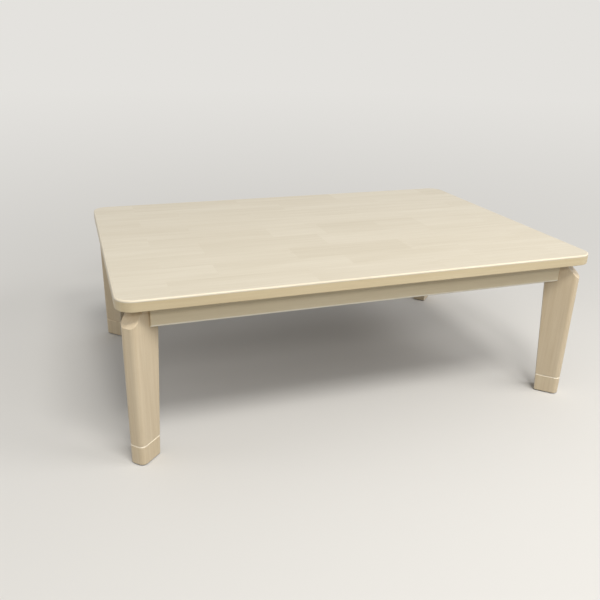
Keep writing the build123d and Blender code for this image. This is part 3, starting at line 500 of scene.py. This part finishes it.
# The seam's chamfer gets the full painted highlight on the front legs and a faint one on the
# rear legs, which stand in shade
for side, seam_highlight_share in (("front", 1.0), ("rear", 0.12)):
    look = {
        "along": "Z",
        "grain": 1.3,
        "pale_edges": lambda n: leg_edge_highlight(n, seam_highlight_share),
        "pale": LEG_HIGHLIGHT,
    }
    leg_wood[side] = wood(f"leg_wood_{side}", *LEG, seed=7.0, **look)
    extension_wood[side] = wood(f"extension_wood_{side}", *EXTENSION, seed=17.0, **look)
block_wood = {
    turn: wood(f"block_wood_{index}", *BLOCK, "X", turn=turn, seed=19.0)
    for index, turn in enumerate((math.pi / 4, -math.pi / 4))
}
cross_wood = wood("cross_rail_wood", *BLOCK, "Y", seed=23.0)
foot_felt = felt("foot_felt", linear(140, 122, 100), linear(110, 94, 76))
pin_steel = metal("pin_steel", *ZINC, 0.3, "Z")
for side in ("front", "rear"):
    material_of[f"tabletop_rail_{side}"] = rail_x
    material_of[f"{side}_apron"] = apron_x
for side in ("left", "right"):
    material_of[f"tabletop_rail_{side}"] = rail_y
    material_of[f"{side}_apron"] = apron_y
    material_of[f"cross_rail_{side}"] = cross_wood
for corner, turn in (
    ("front_left", -math.pi / 4),
    ("front_right", math.pi / 4),
    ("rear_left", math.pi / 4),
    ("rear_right", -math.pi / 4),
):
    side = corner.split("_")[0]
    material_of[f"corner_block_{corner}"] = block_wood[turn]
    material_of[f"leg_{corner}"] = leg_wood[side]
    material_of[f"leg_extension_{corner}"] = extension_wood[side]
    material_of[f"extension_pins_{corner}"] = pin_steel
    material_of[f"foot_pad_{corner}"] = foot_felt

for name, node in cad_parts.items():
    if name in material_of:
        node.data.materials.clear()
        node.data.materials.append(material_of[name])

# ---------------------------------------------------------------- heating coil

# The wound wire that the plain bar stands for, as a helix along the tube's U
coil_wire = metal("coil_wire", linear(120, 112, 104), linear(84, 76, 70), 0.45)
wire_radius = 0.00035
wire_clearance = 0.0001
winding_pitch = 0.0016
steps_per_turn = 10


def coil_route(distance, start_x, bend_x, half_spacing, height):
    """Point and forward direction at a distance along the U."""
    straight = bend_x - start_x
    bend = math.pi * half_spacing
    if distance < straight:
        return Vector((start_x + distance, half_spacing, height)), Vector((1, 0, 0))
    if distance < straight + bend:
        turn = (distance - straight) / half_spacing
        middle = Vector((bend_x, 0, height))
        reach = Vector((math.sin(turn), math.cos(turn), 0))
        return middle + reach * half_spacing, Vector((math.cos(turn), -math.sin(turn), 0))
    rest = distance - straight - bend
    return Vector((bend_x - rest, -half_spacing, height)), Vector((-1, 0, 0))


low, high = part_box("heating_coil")
coil_radius = (high[2] - low[2]) / 2
half_spacing = high[1] - coil_radius
bend_x = high[0] - coil_radius - half_spacing
height = (high[2] + low[2]) / 2
length = 2 * (bend_x - low[0]) + math.pi * half_spacing
count = int(length / winding_pitch * steps_per_turn)
curve = bpy.data.curves.new("coil_winding", "CURVE")
curve.dimensions = "3D"
curve.bevel_depth = wire_radius
curve.bevel_resolution = 1
spline = curve.splines.new("POLY")
spline.points.add(count)
for index in range(count + 1):
    point, forward = coil_route(length * index / count, low[0], bend_x, half_spacing, height)
    sideways = forward.cross(Vector((0, 0, 1)))
    angle = 2 * math.pi * index / steps_per_turn
    offset = sideways * math.cos(angle) + Vector((0, 0, 1)) * math.sin(angle)
    point += offset * (coil_radius - wire_radius - wire_clearance)
    spline.points[index].co = (*point, 1)
winding = bpy.data.objects.new("coil_winding", curve)
bpy.context.collection.objects.link(winding)
curve.materials.append(coil_wire)
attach(winding, "frame")
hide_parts("heating_coil")

# ---------------------------------------------------------------- floor and backdrop

BACKDROP = linear(228, 226, 222)
FLOOR_SEEN = linear(222, 221, 219)
FLOOR_IN_OTHER_RAYS = linear(136, 134, 131)
# The floor lies just under the feet, so that the two don't share a plane
FLOOR_DROP = 0.0005
# One over the distance from the table's middle: where the floor starts to fade into the
# backdrop, and where it is all backdrop
FLOOR_FADE = (0.85, 0.1)


def background_rays(tree):
    """1 for the rays that show the background: seen straight, mirrored or through glass."""
    rays = tree.nodes.new("ShaderNodeLightPath")
    total = rays.outputs["Is Camera Ray"]
    for kind in ("Is Glossy Ray", "Is Transmission Ray"):
        both = tree.nodes.new("ShaderNodeMath")
        both.operation = "MAXIMUM"
        tree.links.new(total, both.inputs[0])
        tree.links.new(rays.outputs[kind], both.inputs[1])
        total = both.outputs["Value"]
    return total


# The floor turns into the backdrop's even tone away from the table
n = Nodes("floor")
seen_floor = background_rays(n.tree)
n.colour(n.mix(seen_floor, FLOOR_IN_OTHER_RAYS, FLOOR_SEEN))
n.set(Roughness=0.95, Specular_IOR_Level=0.0)
reach = n.tree.nodes.new("ShaderNodeVectorMath")
reach.operation = "LENGTH"
n.link(n.place, reach.inputs[0])
away = n.spread(n.maths("DIVIDE", 1.0, reach.outputs["Value"]), *FLOOR_FADE)
even = n.tree.nodes.new("ShaderNodeEmission")
even.inputs["Color"].default_value = BACKDROP
blend = n.tree.nodes.new("ShaderNodeMixShader")
n.link(n.maths("MULTIPLY", seen_floor, away), blend.inputs["Fac"])
n.link(n.shader.outputs["BSDF"], blend.inputs[1])
n.link(even.outputs["Emission"], blend.inputs[2])
n.link(blend.outputs["Shader"], n.tree.nodes["Material Output"].inputs["Surface"])
bpy.ops.mesh.primitive_plane_add(size=60, location=(0, 0, -FLOOR_DROP))
floor = bpy.context.object
floor.name = "floor"
floor.data.materials.append(n.material)

world = bpy.data.worlds.new("studio")
bpy.context.scene.world = world
world.use_nodes = True
tree = world.node_tree
tree.nodes.clear()
output = tree.nodes.new("ShaderNodeOutputWorld")
mixer = tree.nodes.new("ShaderNodeMixShader")
fill = tree.nodes.new("ShaderNodeBackground")
fill.inputs["Color"].default_value = (1.0, 0.99, 0.965, 1)
fill.inputs["Strength"].default_value = 0.42
seen = tree.nodes.new("ShaderNodeBackground")
seen.inputs["Color"].default_value = BACKDROP
seen.inputs["Strength"].default_value = 1.0
tree.links.new(background_rays(tree), mixer.inputs["Fac"])
tree.links.new(fill.outputs["Background"], mixer.inputs[1])
tree.links.new(seen.outputs["Background"], mixer.inputs[2])
tree.links.new(mixer.outputs["Shader"], output.inputs["Surface"])

# ---------------------------------------------------------------- lamps

WARM = (1.0, 0.975, 0.925)


def lamp(name, place, aim, width, depth, power, colour):
    """A soft rectangular lamp that faces a point."""
    data = bpy.data.lights.new(name, "AREA")
    data.shape = "RECTANGLE"
    data.size = width
    data.size_y = depth
    data.energy = power
    data.color = colour
    item = bpy.data.objects.new(name, data)
    item.location = place
    item.rotation_euler = (Vector(aim) - Vector(place)).to_track_quat("-Z", "Y").to_euler()
    bpy.context.collection.objects.link(item)


sun_data = bpy.data.lights.new("overhead_light", "SUN")
sun_data.energy = 0.76
sun_data.angle = math.radians(16)
sun_data.color = WARM
sun = bpy.data.objects.new("overhead_light", sun_data)
sun.rotation_euler = Vector((-0.08, 0.52, -1.0)).to_track_quat("-Z", "Y").to_euler()
bpy.context.collection.objects.link(sun)
lamp("near_light", (0.1, -1.5, 2.3), (0.0, -0.3, 0.4), 0.5, 0.5, 14.5, WARM)
lamp("front_light", (-0.6, -3.2, 2.3), (0.0, -0.4, 0.35), 0.8, 0.5, 20.5, (1.0, 0.975, 0.93))
lamp("side_light", (1.7, -1.3, 1.9), (0.4, -0.2, 0.4), 1.2, 1.0, 18, (1.0, 0.975, 0.94))
lamp("left_light", (-2.2, -0.1, 1.2), (-0.5, -0.3, 0.35), 0.8, 0.8, 3.0, (1.0, 0.98, 0.95))

# ---------------------------------------------------------------- camera

# Place, angles in degrees and lens fitted to the table's edges in the photograph. Yaw turns
# the view to the right of the rear, pitch lowers it, and roll tips the picture.
CAMERA_PLACE = (-0.6633, -1.6722, 0.9225)
CAMERA_YAW, CAMERA_PITCH, CAMERA_ROLL = 18.957, 22.158, 1.217

camera_data = bpy.data.cameras.new("camera")
camera_data.sensor_width = 36
camera_data.lens = 39.471
camera_data.shift_x = 0.0167
camera_data.clip_start = 0.05
camera = bpy.data.objects.new("camera", camera_data)
bpy.context.collection.objects.link(camera)
yaw, pitch, roll = (math.radians(angle) for angle in (CAMERA_YAW, CAMERA_PITCH, CAMERA_ROLL))
forward = Vector(
    (math.sin(yaw) * math.cos(pitch), math.cos(yaw) * math.cos(pitch), -math.sin(pitch))
)
level = Vector((math.cos(yaw), -math.sin(yaw), 0))
upright = level.cross(forward)
right = math.cos(roll) * level + math.sin(roll) * upright
up = -math.sin(roll) * level + math.cos(roll) * upright
turned = Matrix((right, up, -forward)).transposed().to_4x4()
turned.translation = Vector(CAMERA_PLACE)
camera.matrix_world = turned
bpy.context.scene.camera = camera

bpy.context.scene.view_settings.view_transform = "Standard"
